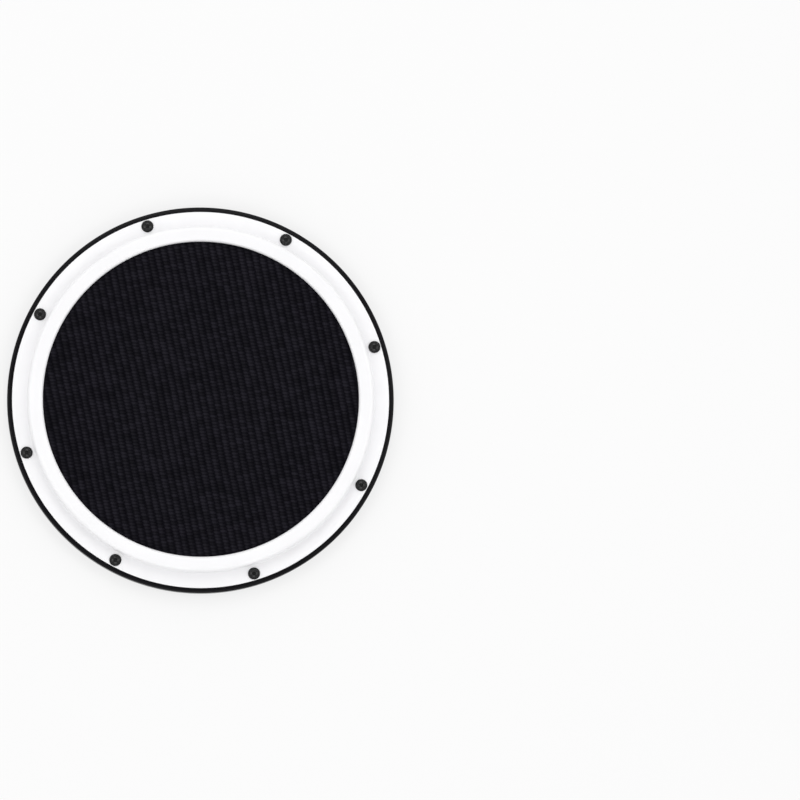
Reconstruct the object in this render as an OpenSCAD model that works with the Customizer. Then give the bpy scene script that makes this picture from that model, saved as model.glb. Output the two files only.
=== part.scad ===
// Round drummer's practice pad with a steel hoop and a snare chamber.
// It lies flat with its playing face up (+Z). The origin is the centre of
// the underside of the two foam feet, and +Y runs along the gap between them.

/* [Playing surface] */
// Diameter of the rubber disc and the woven skin on it
pad_d = 355.6; // [260:0.1:430]
// Thickness of the foam layer next to the base
foam_t = 5; // [3:0.5:8]
// Thickness of the rubber layer
rubber_t = 5; // [3:0.5:8]
// Thickness of the woven playing skin
skin_t = 1; // [0.6:0.1:1.5]

/* [Hoop] */
// Thickness of the hoop's sheet steel
hoop_t = 2; // [1.6:0.1:2.4]
// Width of the flat flange, from the collar to the hoop's edge
flange_w = 16.4; // [14:0.1:20]
// From the collar's outer face to the screw circle
screw_setback = 9.5; // [9:0.1:9.8]
// Gap between the playing layers and the collar
collar_gap = 0.2; // [0.1:0.1:1]
// Outer radius of the bend between flange and collar
root_r = 2; // [1.5:0.1:2.2]
// Outer radius of the bend at the hoop's crest and at its inner lip
crest_r = 3.5; // [2.6:0.1:5]
// Width of the sloping rim, between the centres of its two bends
rim_w = 8.5; // [3:0.1:10]
// Slope of the rim, down to the playing skin
rim_slope = 5; // [2:1:15]
// Height of the hoop's crest above the playing skin
rim_rise = 7; // [6.5:0.1:12]

/* [Base board] */
// Thickness of the base board
base_t = 15; // [14:0.5:22]
// How far the base board stands out past the hoop
base_margin = 5.1; // [3:0.1:15]
// Radius of the base board's rounded edges
base_edge_r = 2; // [1:0.1:3]

/* [Hoop screws and inserts] */
// Number of hoop screws
screw_count = 8; // [6:1:10]
// Angle of the first screw from +X
screw_start = 24; // [0:1:44]
// Thread diameter
screw_d = 6; // [5:0.5:6]
// Length under the head
screw_len = 16; // [15:0.5:17]
// Diameter of the head's flange
screw_flange_d = 12.6; // [11:0.1:13]
// Thickness of the head's flange
screw_flange_t = 1.2; // [1:0.1:1.6]
// Diameter of the head's dome
screw_dome_d = 10.4; // [9:0.1:10.8]
// Height of the head
screw_head_h = 3.2; // [2.8:0.1:3.6]
// Width of the hexagon socket across its flats
socket_af = 4; // [3:0.1:4.2]
// Depth of the socket
socket_depth = 2.2; // [1.6:0.1:2.4]
// Diameter of the insert's flange
insert_flange_d = 15; // [12:0.1:16]
// Thickness of the insert's flange
insert_flange_t = 1.2; // [1:0.1:1.6]
// Outer diameter of the insert's barrel
insert_d = 8; // [7.6:0.1:8.6]
// Length of the barrel inside the board
insert_len = 10; // [8:0.5:12]
// Diameter of the insert's flared mouth
insert_mouth_d = 7.4; // [6.6:0.1:7.8]

/* [Foam feet] */
// Thickness of the feet
foot_t = 4; // [3.5:0.5:8]
// Width of the gap between the two feet
foot_gap = 32; // [20:1:60]
// Gap between the feet and the flanges of the inserts
foot_clear = 6; // [2:0.5:20]
// Gap between the feet and the recess of the cover plate
plate_border = 8; // [6:0.5:20]
// Radius of the feet's outer corners
foot_corner_r = 9; // [3:0.5:12]
// Radius of the corners of the feet's cut-out
notch_corner_r = 8.5; // [3:0.5:12]

/* [Snare chamber] */
// Width of the cover plate
plate_w = 98; // [90:1:120]
// Thickness of the cover plate
plate_t = 1.5; // [1:0.1:2]
// Radius of the cover plate's corners
plate_corner_r = 4.5; // [2:0.5:8]
// Gap between the cover plate and the edge of its recess
plate_gap = 1; // [0.4:0.1:2]
// Thickness of the gasket under the plate
gasket_t = 1; // [0.5:0.1:2]
// Width of the chamber
chamber_w = 60; // [40:1:62]
// Depth of the chamber in the board
chamber_depth = 9; // [7:0.5:9]
// Radius of the chamber's corners
chamber_corner_r = 6; // [3:0.5:10]
// From the plate's edge to the centres of its screws
plate_screw_inset = 12.25; // [8:0.25:12.5]
// Thread diameter of the plate's screws
plate_screw_d = 4.2; // [3.5:0.1:4.5]
// Length of the plate's screws under the head
plate_screw_len = 12; // [8:0.5:12]
// Diameter of their pan heads
pan_d = 9.6; // [8:0.1:10]
// Height of their pan heads
pan_h = 2.6; // [2:0.1:2.8]
// Width of the slots of their cross recess
cross_w = 1.1; // [0.8:0.1:1.4]
// Length of the slots of their cross recess
cross_len = 5; // [4:0.1:6]
// Depth of their cross recess
cross_depth = 1.5; // [1:0.1:1.8]
// Diameter of the steel shot
shot_d = 4.5; // [3:0.1:5]
// Distance between the shot's rows
shot_pitch = 8; // [6.5:0.1:10]
// Gap between the resting shot and the cover plate
shot_gap = 0.3; // [0.3:0.1:0.5]

/* [Label] */
// Length of the blank label
label_len = 64.6; // [30:0.1:70]
// Width of the blank label
label_w = 9.6; // [6:0.1:14]
// Thickness of the label
label_t = 0.15; // [0.1:0.05:0.3]
// From the plate's centre to the label's
label_offset = 20.6; // [14:0.1:22]

/* [Hidden] */
$fn = 96;
// radial clearance of every screw and barrel in its hole
fit_gap = 0.05;
// radial clearance of the screws through the hoop's and the plate's holes
pass_gap = 0.25;
overcut = 1;

// levels, from the floor up
base_z = foot_t;
stack_z = base_z + base_t;
rubber_z = stack_z + foam_t;
skin_z = rubber_z + rubber_t;
face_z = skin_z + skin_t;
crest_z = face_z + rim_rise;
recess_depth = plate_t + gasket_t;
chamber_z = base_z + plate_t;
chamber_top = base_z + recess_depth + chamber_depth;

// radii, from the pad outwards
pad_r = pad_d / 2;
collar_r = pad_r + collar_gap + hoop_t;
screw_circle_r = collar_r + screw_setback;
hoop_r = collar_r + flange_w;
base_r = hoop_r + base_margin;
foot_r = screw_circle_r - insert_flange_d / 2 - foot_clear;
notch_w = plate_w + 2 * (plate_gap + plate_border);
recess_w = plate_w + 2 * plate_gap;
plate_screw_at = plate_w / 2 - plate_screw_inset;

// whole rows of shot that fit the chamber, a ball's width from its walls
shot_rows = floor((chamber_w - 2 * shot_d) / shot_pitch);

SCREWS = [for (i = [0:screw_count - 1]) i];
CORNERS = [[1, 1], [-1, 1], [-1, -1], [1, -1]];

// points along an arc from angle a to angle b
function arc(centre, r, a, b, steps = 8) =
    [for (i = [0:steps]) let (t = a + (b - a) * i / steps)
        [centre[0] + r * cos(t), centre[1] + r * sin(t)]];

// a square of width w with round corners, centred
module round_square(w, r) {
    square([w - 2 * r, w], center = true);
    square([w, w - 2 * r], center = true);
    for (c = CORNERS) translate(c * (w / 2 - r)) circle(r);
}

// puts its children at the place of hoop screw i
module at_screw(i) {
    rotate(screw_start + 360 * i / screw_count) translate([screw_circle_r, 0, 0]) children();
}

// puts its children at the place of plate screw i
module at_plate_screw(i) {
    translate(CORNERS[i] * plate_screw_at) children();
}

module foot_outline() {
    offset(r = foot_corner_r) offset(delta = -foot_corner_r) difference() {
        intersection() {
            circle(foot_r, $fn = 180);
            translate([foot_gap / 2, -foot_r]) square([foot_r, 2 * foot_r]);
        }
        round_square(notch_w, notch_corner_r);
    }
}

module foot_pad() {
    color([0.15, 0.15, 0.17]) linear_extrude(foot_t) foot_outline();
}

module base_profile() {
    square([base_r - base_edge_r, base_t]);
    translate([0, base_edge_r]) square([base_r, base_t - 2 * base_edge_r]);
    for (z = [base_edge_r, base_t - base_edge_r]) translate([base_r - base_edge_r, z])
        circle(base_edge_r);
}

module base_board() {
    color([0.06, 0.06, 0.07]) translate([0, 0, base_z]) difference() {
        rotate_extrude() base_profile();
        translate([0, 0, -overcut]) linear_extrude(overcut + recess_depth)
            round_square(recess_w, plate_corner_r + plate_gap);
        translate([0, 0, -overcut]) linear_extrude(overcut + recess_depth + chamber_depth)
            round_square(chamber_w, chamber_corner_r);
        for (i = SCREWS) at_screw(i) translate([0, 0, -overcut])
            cylinder(d = insert_d + 2 * fit_gap, h = base_t + 2 * overcut);
        for (i = [0:3]) at_plate_screw(i)
            cylinder(d = plate_screw_d + 2 * fit_gap, h = plate_screw_len);
    }
}

module layer(z, t) {
    translate([0, 0, z]) cylinder(r = pad_r, h = t);
}

module isolation_foam() {
    color([0.12, 0.12, 0.13]) layer(stack_z, foam_t);
}

module rubber_layer() {
    color([0.09, 0.09, 0.1]) layer(rubber_z, rubber_t);
}

module playing_skin() {
    color([0.08, 0.08, 0.1]) layer(skin_z, skin_t);
}

// section of the pressed hoop: flange, collar, sloping rim and turned-down lip
module hoop_profile() {
    root = [collar_r + root_r, stack_z + hoop_t + root_r];
    crest = [collar_r - crest_r, crest_z - crest_r];
    lip = crest - rim_w * [1, tan(rim_slope)];
    polygon(concat(
        [[hoop_r, stack_z], [hoop_r, stack_z + hoop_t]],
        arc(root, root_r, 270, 180),
        arc(crest, crest_r, 0, 90 + rim_slope),
        arc(lip, crest_r, 90 + rim_slope, 180),
        [[lip[0] - crest_r, face_z], [lip[0] - crest_r + hoop_t, face_z]],
        arc(lip, crest_r - hoop_t, 180, 90 + rim_slope),
        arc(crest, crest_r - hoop_t, 90 + rim_slope, 0),
        arc(root, root_r + hoop_t, 180, 270)));
}

module hoop() {
    color([0.97, 0.97, 0.97]) difference() {
        rotate_extrude() hoop_profile();
        for (i = SCREWS) at_screw(i) translate([0, 0, stack_z - overcut])
            cylinder(d = screw_d + 2 * pass_gap, h = hoop_t + 2 * overcut);
    }
}

// a button-head screw with a flange, its seat at z = 0 and its shank below
module hoop_screw() {
    dome_r = (pow(screw_dome_d / 2, 2) + pow(screw_head_h, 2)) / (2 * screw_head_h);
    color([0.05, 0.05, 0.06]) difference() {
        union() {
            translate([0, 0, -screw_len]) cylinder(d = screw_d, h = screw_len);
            cylinder(d = screw_flange_d, h = screw_flange_t);
            intersection() {
                translate([0, 0, screw_head_h - dome_r]) sphere(dome_r);
                cylinder(d = screw_dome_d, h = screw_head_h);
            }
        }
        translate([0, 0, screw_head_h - socket_depth])
            cylinder(d = socket_af / cos(30), h = socket_depth + overcut, $fn = 6);
    }
}

// a flanged threaded insert, its flange under the board and its mouth down
module hoop_insert() {
    mouth_h = insert_flange_t + (insert_mouth_d - screw_d) / 2;
    color([0.8, 0.8, 0.82]) translate([0, 0, base_z]) difference() {
        union() {
            translate([0, 0, -insert_flange_t]) cylinder(d = insert_flange_d, h = insert_flange_t);
            cylinder(d = insert_d, h = insert_len);
        }
        translate([0, 0, -insert_flange_t - overcut])
            cylinder(d = screw_d + 2 * fit_gap, h = insert_flange_t + insert_len + 2 * overcut);
        translate([0, 0, -insert_flange_t])
            cylinder(d1 = insert_mouth_d, d2 = screw_d + 2 * fit_gap, h = mouth_h);
    }
}

module chamber_gasket() {
    color([0.1, 0.1, 0.1]) translate([0, 0, base_z + plate_t]) linear_extrude(gasket_t)
        difference() {
            round_square(plate_w, plate_corner_r);
            round_square(chamber_w, chamber_corner_r);
            for (i = [0:3]) at_plate_screw(i) circle(d = plate_screw_d + 2 * pass_gap);
        }
}

module cover_plate() {
    color([0.85, 0.85, 0.87]) translate([0, 0, base_z]) linear_extrude(plate_t) difference() {
        round_square(plate_w, plate_corner_r);
        for (i = [0:3]) at_plate_screw(i) circle(d = plate_screw_d + 2 * pass_gap);
    }
}

// a pan-head screw with a cross recess, driven up into the board
module cover_screw() {
    crown_r = (pow(pan_d / 2, 2) + pow(pan_h, 2)) / (2 * pan_h);
    color([0.9, 0.9, 0.92]) translate([0, 0, base_z]) difference() {
        union() {
            cylinder(d = plate_screw_d, h = plate_screw_len);
            intersection() {
                translate([0, 0, crown_r - pan_h]) sphere(crown_r);
                translate([0, 0, -pan_h]) cylinder(d = pan_d, h = pan_h);
            }
        }
        for (turn = [0, 90]) rotate(turn) translate([-cross_len / 2, -cross_w / 2, -pan_h - overcut])
            cube([cross_len, cross_w, cross_depth + overcut]);
    }
}

module plate_label() {
    color([0.95, 0.95, 0.95]) translate([-label_len / 2, -label_offset - label_w / 2, base_z - label_t])
        cube([label_len, label_w, label_t]);
}

module snare_shot() {
    middle = (shot_rows - 1) / 2;
    color([0.8, 0.8, 0.8]) for (i = [0:shot_rows - 1], j = [0:shot_rows - 1])
        translate([(i - middle) * shot_pitch, (j - middle) * shot_pitch,
                   chamber_z + shot_gap + shot_d / 2]) sphere(d = shot_d, $fn = 24);
}

rotate(180) foot_pad();  // foot_pad_left
foot_pad();  // foot_pad_right
base_board();
isolation_foam();
rubber_layer();
playing_skin();
hoop();
for (i = SCREWS)
    at_screw(i) translate([0, 0, stack_z + hoop_t]) hoop_screw();
for (i = SCREWS)
    at_screw(i) hoop_insert();
chamber_gasket();
cover_plate();
for (i = [0:3])
    at_plate_screw(i) cover_screw();
plate_label();
snare_shot();
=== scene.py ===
"""The looks of a round practice pad: woven skin, white steel hoop, black board and foam feet."""

import math

import bmesh
import bpy
from mathutils import Matrix, Vector


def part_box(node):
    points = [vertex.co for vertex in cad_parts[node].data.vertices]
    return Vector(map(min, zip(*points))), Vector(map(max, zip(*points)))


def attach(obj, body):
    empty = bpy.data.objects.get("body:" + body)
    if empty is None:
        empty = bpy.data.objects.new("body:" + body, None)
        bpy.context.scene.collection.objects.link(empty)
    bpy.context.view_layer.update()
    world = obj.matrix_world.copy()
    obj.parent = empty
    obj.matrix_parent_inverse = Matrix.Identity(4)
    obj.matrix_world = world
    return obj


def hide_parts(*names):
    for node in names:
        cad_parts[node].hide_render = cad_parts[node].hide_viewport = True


bl_info = {
    "name": "Practice Pad",
    "version": (1, 0, 0),
    "blender": (4, 5, 0),
    "location": "View3D > Sidebar > Practice Pad",
    "description": "Builds a round drummer's practice pad with its hoop, board, feet and hardware",
    "category": "Object",
}

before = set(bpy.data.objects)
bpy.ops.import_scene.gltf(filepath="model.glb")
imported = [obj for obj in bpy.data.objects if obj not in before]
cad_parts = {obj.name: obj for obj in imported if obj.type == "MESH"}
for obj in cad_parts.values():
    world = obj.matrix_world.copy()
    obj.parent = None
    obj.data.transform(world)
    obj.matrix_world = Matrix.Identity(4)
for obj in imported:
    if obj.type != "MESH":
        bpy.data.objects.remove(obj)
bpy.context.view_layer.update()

MM = 0.001
BODY = "pad"

# fixed sizes, in metres
COLLAR_GAP = 0.2 * MM        # between the playing layers and the hoop's collar
LAYER_EDGE_R = 0.3 * MM
HOOP_EDGE_R = 0.5 * MM
FOOT_EDGE_R = 0.5 * MM
PLATE_EDGE_R = 0.3 * MM
LABEL_CORNER_R = 0.6 * MM
LABEL_EDGE_R = 0.03 * MM
CHAMBER_CORNER_R = 6 * MM
OVERCUT = 1 * MM             # how far a cutter stands out of what it cuts

HOOP_SCREW_R = 3 * MM        # half of an M6 thread
HOOP_SCREW_POINT = 0.7 * MM  # bevel at the end of the shank
HOOP_HOLE_R = 3.25 * MM
HEAD_DOME_R = 5.2 * MM
HEAD_FLANGE_T = 1.2 * MM
HEAD_FLANGE_EDGE_R = 0.35 * MM
SOCKET_DEPTH = 2.2 * MM
SOCKET_EDGE_R = 0.12 * MM
INSERT_BORE_R = 3.05 * MM
INSERT_BARREL_R = 4 * MM
INSERT_HOLE_R = 4.05 * MM
INSERT_MOUTH_R = 3.9 * MM
INSERT_EDGE_R = 0.4 * MM

COVER_SCREW_R = 2.1 * MM
COVER_PILOT_R = 2.15 * MM
COVER_HOLE_R = 2.35 * MM
COVER_POINT = 2 * MM         # length of the screws' tapered ends
CROSS_LEN, CROSS_W = 5 * MM, 1.1 * MM
CROSS_DEPTH = 1.5 * MM
CROSS_EDGE_R = 0.15 * MM

# steps in a full turn
PAD_STEPS, LAYER_STEPS, SMALL_STEPS, BORE_STEPS = 288, 192, 48, 32

# tones of what lies inside, and of the cover's screws
LAYER_RUBBER = (0.02, 0.02, 0.022)
LAYER_FOAM = (0.03, 0.03, 0.033)
GASKET_RUBBER = (0.02, 0.02, 0.02)
SHOT_STEEL = (0.6, 0.6, 0.61)
NICKEL = (0.78, 0.78, 0.8)

# the stage, in metres and watts
LAMP_OUT, LAMP_UP, LAMP_W = 1.45, 2.3, 1.3
LAMP_POWER = {"back": 15, "front": 10.5, "right": 11, "left": 11}
FLOOR_HALF = 60
FLOOR_TONE = 0.86
FLOOR_GLOW = 0.72            # share of plain white in what the camera sees of the floor
SKY_LOW, SKY_HIGH = 1.1, 0.28
VIEW_TURN = math.radians(6.9)    # turn of the view about the pad's axis
VIEW_W = 0.8335                  # width that the view takes in, at the board's top
LENS = 600.0
AIM_RIGHT, AIM_UP = 0.2079, 0.0006    # from the pad's axis to the middle of the view
FROM_BELOW, FROM_LEFT = math.tan(math.radians(4.2)), math.tan(math.radians(1.6))


# ---- measures taken from the frame ----

def reach(node):
    """How far the node's surface lies from the pad's axis."""
    return max(v.co.xy.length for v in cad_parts[node].data.vertices)


def height(node):
    """The lowest and highest level of a node."""
    low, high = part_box(node)
    return low.z, high.z


def middle(node):
    """The centre of a node's box, on the floor plane."""
    low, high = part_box(node)
    return Vector(((low.x + high.x) / 2, (low.y + high.y) / 2, 0))


def breadth(node):
    """The width of a node's box along X."""
    low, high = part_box(node)
    return high.x - low.x


def numbered(stem):
    """The names of the nodes stem_1, stem_2 and so on, in order."""
    found = [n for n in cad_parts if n.startswith(stem + "_") and n[len(stem) + 1:].isdigit()]
    return sorted(found, key=lambda n: int(n.rsplit("_", 1)[1]))


BASE_LOW, BASE_HIGH = height("base_board")
FACE_Z = height("playing_skin")[1]
CREST_Z = height("hoop")[1]
PLATE_W = breadth("cover_plate")


# ---- sizes and colours that a user would change ----

def length(name, description, default):
    """A size in metres."""
    return bpy.props.FloatProperty(
        name=name, description=description, default=default, min=0, precision=5, unit="LENGTH")


def colour(name, description, default):
    """A linear colour."""
    return bpy.props.FloatVectorProperty(
        name=name, description=description, default=default, size=3, min=0, max=1, subtype="COLOR")


class PadSizes(bpy.types.PropertyGroup):
    hoop_t: length("Hoop sheet", "Thickness of the hoop's steel", 2 * MM)
    hoop_root_r: length("Hoop root bend", "Outer radius where the collar rises from the flange",
                        2 * MM)
    hoop_crest_r: length("Hoop crest bend", "Outer radius of the crest and of the lip", 3.5 * MM)
    rim_w: length("Hoop rim", "Distance between the centres of the crest's and the lip's bends",
                  8.5 * MM)
    rim_slope: bpy.props.FloatProperty(
        name="Rim slope", description="Slope of the rim down to the playing skin",
        default=math.radians(5), subtype="ANGLE")
    edge_r: length("Board edge", "Radius of the board's rounded edges", 2 * MM)
    foot_gap: length("Foot gap", "Gap between the two foam feet", 32 * MM)
    foot_corner_r: length("Foot corner", "Radius of the feet's outer corners", 9 * MM)
    notch_w: length("Foot cut-out", "Width of the cut-out round the cover plate", 116 * MM)
    notch_corner_r: length("Cut-out corner", "Radius of the corners of the cut-out", 8.5 * MM)
    recess_gap: length("Recess gap", "Gap between the cover plate and its recess", 1 * MM)
    plate_corner_r: length("Plate corner", "Radius of the cover plate's corners", 4.5 * MM)
    chamber_w: length("Chamber", "Width of the snare chamber", 60 * MM)
    chamber_depth: length("Chamber depth", "Depth of the chamber above its recess", 9 * MM)
    socket_af: length("Hex socket", "Width of the hoop screws' sockets across the flats", 4 * MM)
    weave_pitch: length("Weave column", "Distance between the columns of the woven skin", 7.1 * MM)
    weave_step: length("Weave step", "Distance between the threads along a column", 3.4 * MM)
    weave_lean: bpy.props.FloatProperty(
        name="Weave lean", description="Turn of the weave's columns from the pad's Y axis",
        default=math.radians(19), subtype="ANGLE")
    thread_turn: bpy.props.FloatProperty(
        name="Thread turn",
        description="Direction, from +X, in which the threads follow one another",
        default=math.radians(93.5), subtype="ANGLE")
    weave_wander: bpy.props.FloatProperty(
        name="Weave wander", description="Most by which a column strays, in columns", default=0.5)


class PadColours(bpy.types.PropertyGroup):
    hoop: colour("Hoop", "White powder coat", (0.935, 0.932, 0.945))
    # the skin's two colours are the ends of its painted shade and painted light
    skin_painted_shade: colour("Skin, low", "Shaded side of the skin's threads", (0.0006, 0.0005, 0.0016))
    skin_painted_light: colour("Skin, high", "Lit crowns of the skin's threads", (0.0110, 0.0100, 0.0150))
    board: colour("Board", "Black paint of the board", (0.0022, 0.002, 0.0032))
    foam: colour("Feet", "Charcoal foam of the feet", (0.0195, 0.0192, 0.0245))
    plate: colour("Cover plate", "Pale zinc spangle of the cover plate", (0.70, 0.70, 0.73))
    plate_dark: colour("Cover plate, dark", "Dark zinc spangle", (0.34, 0.34, 0.37))
    screw: colour("Hoop screws", "Black oxide of the hoop screws", (0.003, 0.003, 0.0036))
    zinc: colour("Inserts", "Bright zinc of the inserts", (0.62, 0.62, 0.64))
    label: colour("Label", "White film of the blank label", (0.86, 0.86, 0.87))


# ---- materials ----

class Graph:
    """A material's nodes, with one call for each node and its links."""

    def __init__(self, name, rough=0.5, metal=0.0, specular=0.5):
        self.mat = bpy.data.materials.new(name)
        self.mat.use_nodes = True
        self.tree = self.mat.node_tree
        self.bsdf = next(n for n in self.tree.nodes if n.type == "BSDF_PRINCIPLED")
        self.bsdf.inputs["Roughness"].default_value = rough
        self.bsdf.inputs["Metallic"].default_value = metal
        self.bsdf.inputs["Specular IOR Level"].default_value = specular
        self.place = self.add("ShaderNodeTexCoord").outputs["Object"]

    def add(self, kind, settings=None, **sockets):
        node = self.tree.nodes.new(kind)
        for key, value in (settings or {}).items():
            setattr(node, key, value)
        for key, value in sockets.items():
            self.feed(node.inputs[key.replace("_", " ")], value)
        return node

    def feed(self, socket, value):
        if isinstance(value, bpy.types.NodeSocket):
            self.tree.links.new(value, socket)
        else:
            socket.default_value = value

    def math(self, operation, *values):
        node = self.add("ShaderNodeMath", {"operation": operation})
        for socket, value in zip(node.inputs, values):
            self.feed(socket, value)
        return node.outputs[0]

    def noise(self, size, detail=2.0, rough=0.5):
        """Noise with features of about that size, in metres."""
        node = self.add("ShaderNodeTexNoise", Vector=self.place, Scale=1 / size, Detail=detail,
                        Roughness=rough)
        return node.outputs["Fac"]

    def spread(self, value, low, high, to_low=0.0, to_high=1.0):
        node = self.add("ShaderNodeMapRange", {"interpolation_type": "SMOOTHSTEP"}, Value=value,
                        From_Min=low, From_Max=high, To_Min=to_low, To_Max=to_high)
        return node.outputs["Result"]

    def blend(self, share, first, second):
        node = self.add("ShaderNodeMix", {"data_type": "RGBA"})
        self.feed(node.inputs[0], share)
        self.feed(node.inputs[6], (*first, 1) if isinstance(first, tuple) else first)
        self.feed(node.inputs[7], (*second, 1) if isinstance(second, tuple) else second)
        return node.outputs[2]

    def bump(self, value, depth, strength=1.0, below=None):
        node = self.add("ShaderNodeBump", Height=value, Distance=depth, Strength=strength)
        if below is not None:
            self.feed(node.inputs["Normal"], below)
        return node.outputs["Normal"]

    def finish(self, base=None, rough=None, normal=None):
        for name, value in (("Base Color", base), ("Roughness", rough), ("Normal", normal)):
            if value is not None:
                self.feed(self.bsdf.inputs[name], value)
        return self.mat


def shade(tone, factor):
    """The same tone, lighter or darker."""
    return tuple(min(1.0, c * factor) for c in tone)


def woven_skin(colours, sizes):
    """Columns of short threads in brick bond: each thread crowned in relief and in painted light
    from one side, with painted shade where threads meet, fibres and a painted sheen of its own.
    """
    g = Graph("woven_skin")
    wander = g.math("MULTIPLY", g.noise(120 * MM, 1.0), sizes.weave_wander)
    part = g.add("ShaderNodeSeparateXYZ", Vector=g.place)

    def waves(angle, pitch):
        """How many pitches each point lies along a direction."""
        east = g.math("MULTIPLY", part.outputs["X"], math.cos(angle) / pitch)
        return g.math("MULTIPLY_ADD", part.outputs["Y"], math.sin(angle) / pitch, east)

    across = g.math("ADD", waves(sizes.weave_lean, sizes.weave_pitch), wander)
    column = g.math("FLOOR", across)
    share = g.math("FRACT", across)
    # painted light from one side: each column brightens quickly on one side, then fades slowly into
    # painted shade in the gap before the next column
    rise, fall = g.spread(share, 0.02, 0.3), g.spread(share, 0.98, 0.36)
    crown = g.math("MULTIPLY_ADD", g.math("MULTIPLY", rise, fall), 0.62, 0.38)
    along = g.math("MULTIPLY_ADD", column, 0.5, waves(sizes.thread_turn, sizes.weave_step))
    from_crown = g.math("ABSOLUTE", g.math("SUBTRACT", g.math("FRACT", along), 0.5))
    # painted shade at the ends of each thread and in the column gaps, painted light on its crown;
    # the same profile also shapes the relief
    thread = g.math("MULTIPLY", g.spread(from_crown, 0.46, 0.12, 0.5, 1.0), crown)
    cell = g.add("ShaderNodeCombineXYZ", X=column, Y=g.math("FLOOR", along))
    each = g.add("ShaderNodeTexWhiteNoise", {"noise_dimensions": "2D"}, Vector=cell.outputs[0])
    # a painted sheen of its own for each thread, set at random
    own = g.math("MULTIPLY_ADD", each.outputs["Value"], 0.9, 0.5)
    fibre = g.noise(1.1 * MM, 3.0, 0.6)
    uneven = g.math("MULTIPLY", own, g.spread(fibre, 0.25, 0.75, 0.5, 1.35))
    slow = g.spread(g.noise(14 * MM, 3.0), 0.3, 0.7, 0.6, 1.15)
    # tone: the threads' painted shade and light, times the fibres and the slow patches
    tone = g.math("MULTIPLY", g.math("MULTIPLY", thread, uneven), slow)
    base = g.blend(tone, tuple(colours.skin_painted_shade), tuple(colours.skin_painted_light))
    g.feed(g.bsdf.inputs["Specular IOR Level"], g.math("MULTIPLY_ADD", thread, 0.07, 0.01))
    relief = g.bump(fibre, 0.03 * MM, 0.4, g.bump(thread, 0.2 * MM, 0.25))
    return g.finish(base, g.spread(thread, 0.0, 1.0, 0.66, 0.5), relief)


def powder_coat(colours):
    g = Graph("white_powder_coat", rough=0.34, specular=0.5)
    peel = g.noise(1.4 * MM, 3.0, 0.55)
    cloud = g.noise(45 * MM, 3.0)
    white = tuple(colours.hoop)
    base = g.blend(g.spread(cloud, 0.3, 0.7), white, shade(white, 0.975))
    return g.finish(base, g.spread(cloud, 0.3, 0.7, 0.3, 0.38), g.bump(peel, 0.05 * MM, 0.22))


def board_paint(colours):
    g = Graph("black_board", specular=0.15)
    grain = g.noise(0.7 * MM, 3.0, 0.6)
    patch = g.noise(30 * MM, 4.0)
    black = tuple(colours.board)
    specks = g.spread(g.noise(1.6 * MM, 1.0), 0.74, 0.8)
    base = g.blend(g.math("MULTIPLY", specks, 0.5), black, shade(black, 3.2))
    return g.finish(base, g.spread(patch, 0.3, 0.7, 0.24, 0.32), g.bump(grain, 0.03 * MM, 0.25))


def foam(name, tone, cell=0.9 * MM):
    """Closed-cell foam: fine pores, painted shade in the hollows of its fine relief and painted
    light on its rises, and a slightly uneven tone.
    """
    g = Graph(name, rough=0.86, specular=0.2)
    cells = g.add("ShaderNodeTexVoronoi", Vector=g.place, Scale=1 / cell).outputs["Distance"]
    patch = g.noise(16 * MM, 5.0, 0.6)
    fine = g.noise(0.6 * MM, 3.0, 0.7)
    # painted shade and light: the fine noise that raises the relief darkens its hollows and lightens
    # its rises
    shadow = g.blend(g.spread(fine, 0.3, 0.7), shade(tone, 0.66), shade(tone, 1.3))
    base = g.blend(g.spread(patch, 0.3, 0.7, 0.0, 0.45), shadow, shade(tone, 0.8))
    return g.finish(base, None, g.bump(fine, 0.08 * MM, 0.5, g.bump(cells, 0.12 * MM, 0.6)))


def rubber(name, tone):
    g = Graph(name, rough=0.7, specular=0.3)
    fine = g.noise(0.8 * MM, 3.0, 0.6)
    base = g.blend(g.spread(fine, 0.3, 0.7), shade(tone, 0.8), shade(tone, 1.25))
    return g.finish(base, None, g.bump(fine, 0.06 * MM, 0.4))


def spangled_zinc(colours):
    """Zinc that froze in large crystals: patches with crisp edges, each with its own fine grain."""
    g = Graph("galvanised_steel", metal=0.85, specular=0.5)
    warp = g.add("ShaderNodeTexNoise", Vector=g.place, Scale=70.0, Detail=4.0, Roughness=0.65)
    moved = g.add("ShaderNodeMix", {"data_type": "VECTOR"})
    moved.inputs[0].default_value = 0.012
    g.feed(moved.inputs[4], g.place)
    g.feed(moved.inputs[5], warp.outputs["Color"])
    crystals = g.add("ShaderNodeTexVoronoi", Vector=moved.outputs[1], Scale=62.0)
    cell = g.add("ShaderNodeSeparateColor", Color=crystals.outputs["Color"])
    large = g.spread(g.noise(34 * MM, 5.0, 0.62), 0.49, 0.53)
    streak = g.noise(2.2 * MM, 4.0, 0.6)
    mixed = g.math("MULTIPLY_ADD", cell.outputs["Red"], 0.35, g.math("MULTIPLY", large, 0.55))
    share = g.math("ADD", mixed, g.spread(streak, 0.3, 0.7, -0.1, 0.12))
    base = g.blend(g.spread(share, 0.05, 0.9), tuple(colours.plate), tuple(colours.plate_dark))
    return g.finish(base, g.spread(share, 0.0, 1.0, 0.36, 0.52), g.bump(share, 0.03 * MM, 0.3))


def bright_metal(name, tone, rough, wear=0.12):
    """Plated steel with fine turning marks and a little handling wear."""
    g = Graph(name, metal=1.0)
    worn = g.noise(2.5 * MM, 4.0, 0.6)
    fine = g.noise(0.25 * MM, 2.0)
    base = g.blend(g.spread(worn, 0.4, 0.7), tone, shade(tone, 1 - wear))
    dull = g.spread(worn, 0.3, 0.7, rough, rough + wear)
    return g.finish(base, dull, g.bump(fine, 0.01 * MM, 0.3))


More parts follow.
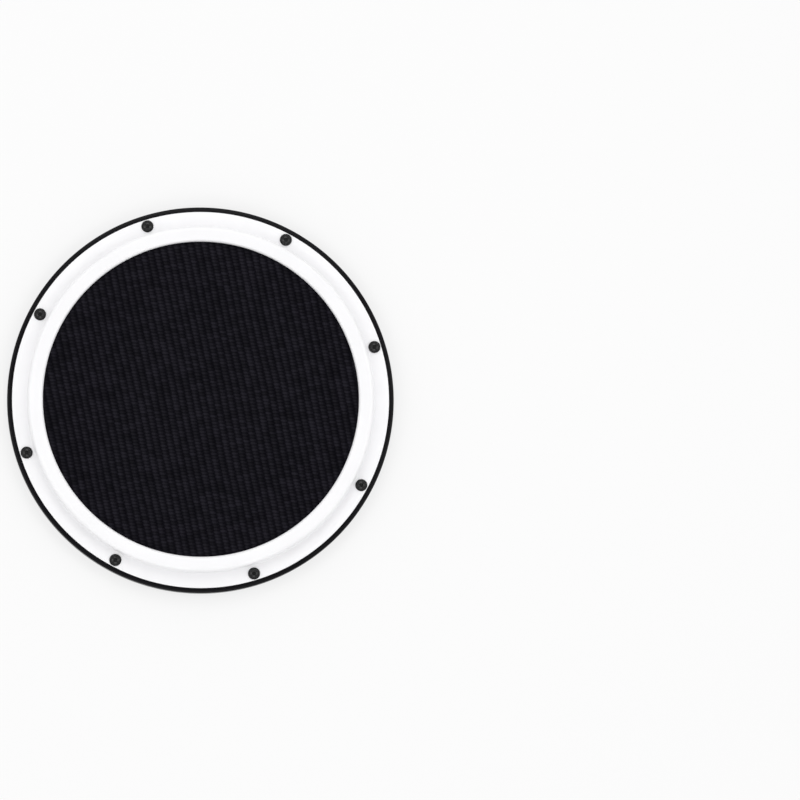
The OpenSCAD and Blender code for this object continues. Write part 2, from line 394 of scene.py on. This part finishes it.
def black_oxide(colours):
    g = Graph("black_oxide", specular=0.42)
    worn = g.noise(1.8 * MM, 4.0, 0.65)
    black = tuple(colours.screw)
    base = g.blend(g.spread(worn, 0.62, 0.78, 0.0, 0.7), black, shade(black, 4.0))
    return g.finish(base, g.spread(worn, 0.3, 0.7, 0.2, 0.32), g.bump(worn, 0.02 * MM, 0.25))


def label_film(colours):
    g = Graph("label_film", rough=0.42)
    fibre = g.noise(0.5 * MM, 3.0, 0.6)
    patch = g.noise(14 * MM, 3.0)
    white = tuple(colours.label)
    base = g.blend(g.spread(patch, 0.35, 0.7), white, shade(white, 0.95))
    return g.finish(base, None, g.bump(fibre, 0.015 * MM, 0.3))


# ---- making and finishing pieces ----

def arc(centre, radius, start, end, steps):
    """Points along an arc, in degrees, as (along, up) pairs."""
    angles = [math.radians(start + (end - start) * i / steps) for i in range(steps + 1)]
    return [(centre[0] + radius * math.cos(a), centre[1] + radius * math.sin(a)) for a in angles]


def chain(bm, points, closed=False):
    """Vertices joined by edges, in the XY plane or, for a section, the XZ plane."""
    verts = [bm.verts.new(p) for p in points]
    edges = [bm.edges.new(pair) for pair in zip(verts, verts[1:])]
    if closed:
        edges.append(bm.edges.new((verts[-1], verts[0])))
    return verts + edges


def turned(section, steps, closed=False):
    """A section of (radius, height) points, turned a full circle about Z."""
    bm = bmesh.new()
    geom = chain(bm, [(r, 0, z) for r, z in section], closed)
    bmesh.ops.spin(bm, geom=geom, cent=(0, 0, 0), axis=(0, 0, 1), angle=2 * math.pi, steps=steps,
                   use_merge=True)
    bmesh.ops.remove_doubles(bm, verts=bm.verts, dist=1e-7)
    bmesh.ops.recalc_face_normals(bm, faces=bm.faces)
    return bm


def block(width, depth, low, high, corner_r, steps=8):
    """A box between two levels whose upright edges are rounded."""
    bm = bmesh.new()
    centre = Matrix.Translation((0, 0, (low + high) / 2))
    shape = centre @ Matrix.Diagonal((width, depth, high - low, 1))
    bmesh.ops.create_cube(bm, size=1, matrix=shape)
    upright = [e for e in bm.edges if abs(e.verts[0].co.z - e.verts[1].co.z) > (high - low) / 2]
    bmesh.ops.bevel(bm, geom=upright, offset=corner_r, segments=steps, profile=0.5,
                    affect="EDGES", material=-1)
    return bm


def soften(bm, radius, steps=3, angle=35, keep=lambda edge: True):
    """Rounds the sharp edges that keep() accepts."""
    sharp = [e for e in bm.edges
             if len(e.link_faces) == 2 and e.calc_face_angle() > math.radians(angle) and keep(e)]
    bmesh.ops.bevel(bm, geom=sharp, offset=radius, segments=steps, profile=0.5,
                    affect="EDGES", material=-1, clamp_overlap=True)


def to_object(bm, name):
    mesh = bpy.data.meshes.new(name)
    bm.to_mesh(mesh)
    bm.free()
    obj = bpy.data.objects.new(name, mesh)
    bpy.context.scene.collection.objects.link(obj)
    return obj


def cut(bm, *cutters):
    """bm less the cutters, which are used up."""
    body = to_object(bm, "cut_body")
    tools = [to_object(c, "cutter") for c in cutters]
    for tool in tools:
        step = body.modifiers.new("cut", "BOOLEAN")
        step.operation, step.solver, step.object = "DIFFERENCE", "EXACT", tool
    bpy.context.view_layer.update()
    shown = body.evaluated_get(bpy.context.evaluated_depsgraph_get())
    left = bmesh.new()
    left.from_mesh(shown.to_mesh())
    shown.to_mesh_clear()
    for obj in [body, *tools]:
        mesh = obj.data
        bpy.data.objects.remove(obj)
        bpy.data.meshes.remove(mesh)
    bmesh.ops.remove_doubles(left, verts=left.verts, dist=1e-6)
    return left


def piece(bm, name, material, replaces, smooth=30):
    """Finishes a mesh as a piece of the pad that stands for CAD nodes."""
    bmesh.ops.dissolve_degenerate(bm, dist=1e-7, edges=bm.edges)
    obj = to_object(bm, name)
    obj.data.shade_smooth()
    obj.data.set_sharp_from_angle(angle=math.radians(smooth))
    obj.data.materials.append(material)
    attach(obj, BODY)
    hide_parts(*replaces)
    return obj


def dress(node, material):
    """Gives a CAD node that stays its finish."""
    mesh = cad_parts[node].data
    mesh.materials.clear()
    mesh.materials.append(material)


def placed(bm, spot, turn=0.0):
    """Moves a small part made on the axis to its place on the pad."""
    bmesh.ops.transform(bm, verts=bm.verts,
                        matrix=Matrix.Translation(spot) @ Matrix.Rotation(turn, 4, "Z"))
    return bm


def ball_over(radius, rise):
    """The radius of the ball that domes a disc by a rise, and the dome's half angle in degrees."""
    ball = (radius ** 2 + rise ** 2) / (2 * rise)
    return ball, math.degrees(math.asin(radius / ball))


def bores(stem, radius, low, high):
    """A cylinder between two levels at each of the numbered nodes, to cut its hole."""
    made = []
    for node in numbered(stem):
        bore = bmesh.new()
        bmesh.ops.create_cone(bore, cap_ends=True, segments=BORE_STEPS, radius1=radius,
                              radius2=radius, depth=high - low)
        made.append(placed(bore, middle(node) + Vector((0, 0, (low + high) / 2))))
    return made


# ---- one operator for each piece or group of like pieces ----

class PAD_OT_playing_layers(bpy.types.Operator):
    """Adds the woven playing skin and finishes the rubber and foam under it"""
    bl_idname = "pad.playing_layers"
    bl_label = "Playing Layers"
    bl_options = {"REGISTER", "UNDO"}

    def execute(self, context):
        sizes, colours = context.scene.pad_sizes, context.scene.pad_colours
        low, high = height("playing_skin")
        outer, edge = reach("playing_skin"), LAYER_EDGE_R
        section = [(0, high), (outer * 0.35, high), (outer * 0.7, high)]
        section += arc((outer - edge, high - edge), edge, 90, 0, 4) + [(outer, low), (0, low)]
        piece(turned(section, LAYER_STEPS), "playing_skin_woven", woven_skin(colours, sizes),
              ["playing_skin"])
        dress("rubber_layer", rubber("layer_rubber", LAYER_RUBBER))
        dress("isolation_foam", foam("layer_foam", LAYER_FOAM, 1.2 * MM))
        return {"FINISHED"}


class PAD_OT_hoop(bpy.types.Operator):
    """Adds the pressed steel hoop: flange, collar, sloping rim and turned-down lip"""
    bl_idname = "pad.hoop"
    bl_label = "Hoop"
    bl_options = {"REGISTER", "UNDO"}

    def execute(self, context):
        sizes, colours = context.scene.pad_sizes, context.scene.pad_colours
        sheet, root_r, crest_r = sizes.hoop_t, sizes.hoop_root_r, sizes.hoop_crest_r
        slope = math.degrees(sizes.rim_slope)
        outer, bottom = reach("hoop"), BASE_HIGH
        collar = reach("playing_skin") + COLLAR_GAP + sheet
        root = (collar + root_r, bottom + sheet + root_r)
        crest = (collar - crest_r, CREST_Z - crest_r)
        lip = (crest[0] - sizes.rim_w, crest[1] - sizes.rim_w * math.tan(sizes.rim_slope))
        edge = HOOP_EDGE_R
        section = arc((outer - edge, bottom + edge), edge, -90, 0, 3)
        section += arc((outer - edge * 1.4, bottom + sheet - edge * 1.4), edge * 1.4, 0, 90, 5)
        section += arc(root, root_r, 270, 180, 10) + arc(crest, crest_r, 0, 90 + slope, 18)
        section += arc(lip, crest_r, 90 + slope, 180, 14)
        section += [(lip[0] - crest_r, FACE_Z), (lip[0] - crest_r + sheet, FACE_Z)]
        section += arc(lip, crest_r - sheet, 180, 90 + slope, 8)
        section += arc(crest, crest_r - sheet, 90 + slope, 0, 8)
        section += arc(root, root_r + sheet, 180, 270, 8)
        holes = bores("hoop_screw", HOOP_HOLE_R, bottom - sheet, bottom + 2 * sheet)
        piece(cut(turned(section, PAD_STEPS, closed=True), *holes), "hoop_pressed",
              powder_coat(colours), ["hoop"], smooth=40)
        return {"FINISHED"}


class PAD_OT_board(bpy.types.Operator):
    """Adds the painted board with its rounded edges, plate recess, snare chamber and insert holes"""
    bl_idname = "pad.board"
    bl_label = "Board"
    bl_options = {"REGISTER", "UNDO"}

    def execute(self, context):
        sizes, colours = context.scene.pad_sizes, context.scene.pad_colours
        outer, edge = reach("base_board"), sizes.edge_r
        section = [(0, BASE_HIGH)] + arc((outer - edge, BASE_HIGH - edge), edge, 90, 0, 7)
        section += arc((outer - edge, BASE_LOW + edge), edge, 0, -90, 7) + [(0, BASE_LOW)]
        gasket_top = height("chamber_gasket")[1]
        recess_w = PLATE_W + 2 * sizes.recess_gap
        under = BASE_LOW - OVERCUT
        recess = block(recess_w, recess_w, under, gasket_top,
                       sizes.plate_corner_r + sizes.recess_gap)
        chamber = block(sizes.chamber_w, sizes.chamber_w, under, gasket_top + sizes.chamber_depth,
                        CHAMBER_CORNER_R)
        holes = bores("hoop_insert", INSERT_HOLE_R, under, BASE_HIGH + OVERCUT)
        holes += bores("cover_screw", COVER_PILOT_R, under, height("cover_screw_1")[1])
        piece(cut(turned(section, PAD_STEPS), recess, chamber, *holes), "board_painted",
              board_paint(colours), ["base_board"])
        return {"FINISHED"}


class PAD_OT_feet(bpy.types.Operator):
    """Adds the two D-shaped foam feet"""
    bl_idname = "pad.feet"
    bl_label = "Foam Feet"
    bl_options = {"REGISTER", "UNDO"}

    def execute(self, context):
        sizes, colours = context.scene.pad_sizes, context.scene.pad_colours
        skin = foam("foot_foam", tuple(colours.foam))
        low, high = height("foot_pad_right")
        outer, side = reach("foot_pad_right"), sizes.foot_gap / 2
        corner, notch, inner = sizes.foot_corner_r, sizes.notch_w / 2, sizes.notch_corner_r
        inset = side + corner
        tip = math.sqrt((outer - corner) ** 2 - inset ** 2)
        end = math.degrees(math.atan2(tip, inset))
        upper = arc((inset, tip), corner, end, 180, 12)
        upper += arc((inset, notch + corner), corner, 180, 270, 10)
        upper += arc((notch - inner, notch - inner), inner, 90, 0, 10)
        lower = [(x, -y) for x, y in reversed(upper)]
        rim = arc((0, 0), outer, -end, end, 140)[1:-1]
        for name, turn in (("right", 0.0), ("left", math.pi)):
            bm = bmesh.new()
            chain(bm, [(x, y, high) for x, y in rim + upper + lower], closed=True)
            face = bmesh.ops.contextual_create(bm, geom=bm.edges[:])["faces"][0]
            grown = bmesh.ops.extrude_face_region(bm, geom=[face])["geom"]
            lowered = [v for v in grown if isinstance(v, bmesh.types.BMVert)]
            bmesh.ops.translate(bm, verts=lowered, vec=(0, 0, low - high))
            bmesh.ops.recalc_face_normals(bm, faces=bm.faces)
            soften(bm, FOOT_EDGE_R, keep=lambda e: all(abs(v.co.z - low) < 1e-6 for v in e.verts))
            foot = piece(placed(bm, Vector(), turn), f"foot_foam_{name}", skin,
                         [f"foot_pad_{name}"])
        return {"FINISHED"}


class PAD_OT_hoop_screws(bpy.types.Operator):
    """Adds the black button-head screws of the hoop"""
    bl_idname = "pad.hoop_screws"
    bl_label = "Hoop Screws"
    bl_options = {"REGISTER", "UNDO"}

    def execute(self, context):
        sizes, colours = context.scene.pad_sizes, context.scene.pad_colours
        finish = black_oxide(colours)
        socket_r = sizes.socket_af / 2 / math.cos(math.pi / 6)
        for number, node in enumerate(numbered("hoop_screw"), 1):
            low, high = height(node)
            seat = BASE_HIGH + sizes.hoop_t
            wide = breadth(node) / 2
            ball, rise = ball_over(HEAD_DOME_R, high - seat - HEAD_FLANGE_T)
            section = arc((0, high - ball), ball, 90, 90 - rise, 8)
            edge = HEAD_FLANGE_EDGE_R
            section += arc((wide - edge, seat + HEAD_FLANGE_T - edge), edge, 90, 0, 4)
            section += [(wide, seat), (HOOP_SCREW_R, seat),
                        (HOOP_SCREW_R, low + HOOP_SCREW_POINT),
                        (HOOP_SCREW_R - HOOP_SCREW_POINT, low), (0, low)]
            key = bmesh.new()
            bmesh.ops.create_cone(key, cap_ends=True, segments=6, radius1=socket_r,
                                  radius2=socket_r, depth=2 * SOCKET_DEPTH)
            placed(key, Vector((0, 0, high)))
            screw = cut(turned(section, SMALL_STEPS), key)
            soften(screw, SOCKET_EDGE_R, 2, 50,
                   lambda e: max(v.co.z for v in e.verts) > high - 1 * MM
                   and max(v.co.xy.length for v in e.verts) < socket_r * 1.3)
            # each screw stops at its own turn
            stopped = placed(screw, middle(node), number * 0.7)
            piece(stopped, f"hoop_screw_black_{number}", finish, [node], smooth=32)
        return {"FINISHED"}


class PAD_OT_inserts(bpy.types.Operator):
    """Adds the flanged threaded inserts under the board"""
    bl_idname = "pad.inserts"
    bl_label = "Inserts"
    bl_options = {"REGISTER", "UNDO"}

    def execute(self, context):
        colours = context.scene.pad_colours
        finish = bright_metal("zinc_insert", tuple(colours.zinc), 0.2)
        for number, node in enumerate(numbered("hoop_insert"), 1):
            low, high = height(node)
            wide = breadth(node) / 2
            edge, flare = INSERT_EDGE_R, INSERT_MOUTH_R - INSERT_BORE_R
            section = [(INSERT_BORE_R, high), (INSERT_BARREL_R, high), (INSERT_BARREL_R, BASE_LOW),
                       (wide - edge / 4, BASE_LOW)]
            section += arc((wide - edge, low + edge), edge, 0, -90, 4)
            section += arc((INSERT_MOUTH_R + edge, low + edge), edge, -90, -150, 4)
            section += arc((INSERT_MOUTH_R, low + edge + flare), flare, -120, -180, 5)
            insert = placed(turned(section, SMALL_STEPS, closed=True), middle(node))
            piece(insert, f"hoop_insert_zinc_{number}", finish, [node], smooth=35)
        return {"FINISHED"}


class PAD_OT_cover(bpy.types.Operator):
    """Adds the cover plate with its blank label and finishes the gasket and the shot behind it"""
    bl_idname = "pad.cover"
    bl_label = "Cover Plate"
    bl_options = {"REGISTER", "UNDO"}

    def execute(self, context):
        sizes, colours = context.scene.pad_sizes, context.scene.pad_colours
        low, high = height("cover_plate")
        plate = block(PLATE_W, PLATE_W, low, high, sizes.plate_corner_r)
        soften(plate, PLATE_EDGE_R, keep=lambda e: abs(e.verts[0].co.z - e.verts[1].co.z) < 1e-6)
        holes = bores("cover_screw", COVER_HOLE_R, low - OVERCUT, high + OVERCUT)
        piece(cut(plate, *holes), "cover_plate_spangled", spangled_zinc(colours),
              ["cover_plate"])
        near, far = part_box("plate_label")
        label = block(far.x - near.x, far.y - near.y, near.z, far.z, LABEL_CORNER_R, 4)
        soften(label, LABEL_EDGE_R, 1,
               keep=lambda e: all(abs(v.co.z - near.z) < 1e-6 for v in e.verts))
        piece(placed(label, middle("plate_label")), "plate_label_blank", label_film(colours),
              ["plate_label"])
        dress("chamber_gasket", rubber("gasket_rubber", GASKET_RUBBER))
        dress("snare_shot", bright_metal("shot_steel", SHOT_STEEL, 0.2))
        return {"FINISHED"}


class PAD_OT_cover_screws(bpy.types.Operator):
    """Adds the bright cross-head screws of the cover plate"""
    bl_idname = "pad.cover_screws"
    bl_label = "Cover Screws"
    bl_options = {"REGISTER", "UNDO"}

    def execute(self, context):
        finish = bright_metal("bright_nickel", NICKEL, 0.1, 0.08)
        for number, node in enumerate(numbered("cover_screw"), 1):
            low, high = height(node)
            wide, head = breadth(node) / 2, BASE_LOW - low
            side = 0.5 * head
            crown, rise = ball_over(wide, head - side)
            section = arc((0, low + crown), crown, -90, -90 + rise, 8) + [(wide, low + side * 1.2)]
            section += [(wide, BASE_LOW), (COVER_SCREW_R, BASE_LOW),
                        (COVER_SCREW_R, high - COVER_POINT), (0, high)]
            slots = []
            for across in ((CROSS_LEN, CROSS_W), (CROSS_W, CROSS_LEN)):
                slot = bmesh.new()
                shape = Matrix.Diagonal((*across, 2 * CROSS_DEPTH, 1))
                bmesh.ops.create_cube(slot, size=1, matrix=Matrix.Translation((0, 0, low)) @ shape)
                slots.append(slot)
            screw = cut(turned(section, SMALL_STEPS), *slots)
            soften(screw, CROSS_EDGE_R, 2, 50,
                   lambda e: max(v.co.z for v in e.verts) < low + 1 * MM)
            stopped = placed(screw, middle(node), 0.4 + number)
            piece(stopped, f"cover_screw_bright_{number}", finish, [node], smooth=32)
        return {"FINISHED"}


class PAD_OT_stage(bpy.types.Operator):
    """Adds the pale floor, the soft light and the camera"""
    bl_idname = "pad.stage"
    bl_label = "Stage"
    bl_options = {"REGISTER", "UNDO"}

    def execute(self, context):
        right = Vector((math.cos(VIEW_TURN), math.sin(VIEW_TURN), 0))
        up = Vector((-right.y, right.x, 0))
        add_floor()
        add_world()
        for name, aside in (("back", up), ("front", -up), ("right", right), ("left", -right)):
            spot = aside * LAMP_OUT + Vector((0, 0, LAMP_UP))
            add_lamp(f"lamp_{name}", spot, LAMP_W, LAMP_POWER[name])
        add_camera(right, up)
        context.scene.view_settings.view_transform = "Standard"
        return {"FINISHED"}


def add_camera(right, up):
    """A long lens that looks down on the pad from almost straight above."""
    data = bpy.data.cameras.new("camera")
    data.lens = LENS
    data.clip_end = 100
    camera = bpy.data.objects.new("camera", data)
    bpy.context.scene.collection.objects.link(camera)
    distance = VIEW_W * LENS / data.sensor_width
    pad = Vector((0, 0, BASE_HIGH))
    aim = pad + right * AIM_RIGHT + up * AIM_UP
    toward = Vector((0, 0, 1)) - up * FROM_BELOW - right * FROM_LEFT
    camera.location = pad + toward.normalized() * distance
    back = (camera.location - aim).normalized()
    side = up.cross(back).normalized()
    camera.rotation_euler = Matrix((side, back.cross(side), back)).transposed().to_euler()
    bpy.context.scene.camera = camera


def add_lamp(name, spot, width, power):
    """A square lamp that faces the pad's foot and isn't seen itself."""
    data = bpy.data.lights.new(name, "AREA")
    data.size, data.energy = width, power
    lamp = bpy.data.objects.new(name, data)
    lamp.location = spot
    lamp.rotation_euler = (-spot).to_track_quat("-Z", "Y").to_euler()
    lamp.visible_camera = False
    bpy.context.scene.collection.objects.link(lamp)


def add_floor():
    """A plain pale floor that looks close to white to the camera and in reflections."""
    bm = bmesh.new()
    bmesh.ops.create_grid(bm, x_segments=1, y_segments=1, size=FLOOR_HALF)
    floor = to_object(bm, "floor")
    g = Graph("floor", rough=0.9, specular=0.1)
    g.bsdf.inputs["Base Color"].default_value = (FLOOR_TONE, FLOOR_TONE, FLOOR_TONE, 1)
    rays = g.add("ShaderNodeLightPath").outputs
    seen = g.math("MAXIMUM", rays["Is Camera Ray"], rays["Is Glossy Ray"])
    glow = g.add("ShaderNodeEmission", Strength=1.0)
    mix = g.add("ShaderNodeMixShader")
    g.feed(mix.inputs[0], g.math("MULTIPLY", seen, FLOOR_GLOW))
    g.feed(mix.inputs[1], g.bsdf.outputs[0])
    g.feed(mix.inputs[2], glow.outputs[0])
    out = next(n for n in g.tree.nodes if n.type == "OUTPUT_MATERIAL")
    g.feed(out.inputs["Surface"], mix.outputs[0])
    floor.data.materials.append(g.mat)


def add_world():
    """A soft sky: bright round the horizon, dimmer overhead, and plain white where it is seen."""
    world = bpy.data.worlds.new("studio")
    world.use_nodes = True
    bpy.context.scene.world = world
    tree = world.node_tree
    backdrop = next(n for n in tree.nodes if n.type == "BACKGROUND")
    place = tree.nodes.new("ShaderNodeTexCoord")
    part = tree.nodes.new("ShaderNodeSeparateXYZ")
    tree.links.new(place.outputs["Generated"], part.inputs[0])
    fall = tree.nodes.new("ShaderNodeMapRange")
    for name, value in (("From Min", 0.0), ("From Max", 1.0), ("To Min", SKY_LOW),
                        ("To Max", SKY_HIGH)):
        fall.inputs[name].default_value = value
    tree.links.new(part.outputs["Z"], fall.inputs["Value"])
    rays = tree.nodes.new("ShaderNodeLightPath")
    seen = tree.nodes.new("ShaderNodeMath")
    seen.operation = "MAXIMUM"
    tree.links.new(fall.outputs["Result"], seen.inputs[0])
    tree.links.new(rays.outputs["Is Camera Ray"], seen.inputs[1])
    tree.links.new(seen.outputs[0], backdrop.inputs["Strength"])
    backdrop.inputs["Color"].default_value = (1, 1, 1, 1)


class PAD_PT_panel(bpy.types.Panel):
    bl_idname = "PAD_PT_panel"
    bl_label = "Practice Pad"
    bl_space_type = "VIEW_3D"
    bl_region_type = "UI"
    bl_category = "Practice Pad"

    def draw(self, context):
        for step in STEPS:
            self.layout.operator(step.bl_idname)
        for group in (context.scene.pad_sizes, context.scene.pad_colours):
            for name in group.__annotations__:
                self.layout.prop(group, name)


STEPS = (PAD_OT_stage, PAD_OT_board, PAD_OT_feet, PAD_OT_playing_layers, PAD_OT_hoop,
         PAD_OT_hoop_screws, PAD_OT_inserts, PAD_OT_cover, PAD_OT_cover_screws)
CLASSES = (PadSizes, PadColours, *STEPS, PAD_PT_panel)


def register():
    for cls in CLASSES:
        bpy.utils.register_class(cls)
    bpy.types.Scene.pad_sizes = bpy.props.PointerProperty(type=PadSizes)
    bpy.types.Scene.pad_colours = bpy.props.PointerProperty(type=PadColours)


def unregister():
    del bpy.types.Scene.pad_colours
    del bpy.types.Scene.pad_sizes
    for cls in reversed(CLASSES):
        bpy.utils.unregister_class(cls)


def main():
    register()
    for step in STEPS:
        group, name = step.bl_idname.split(".")
        getattr(getattr(bpy.ops, group), name)()


if __name__ == "__main__":
    main()
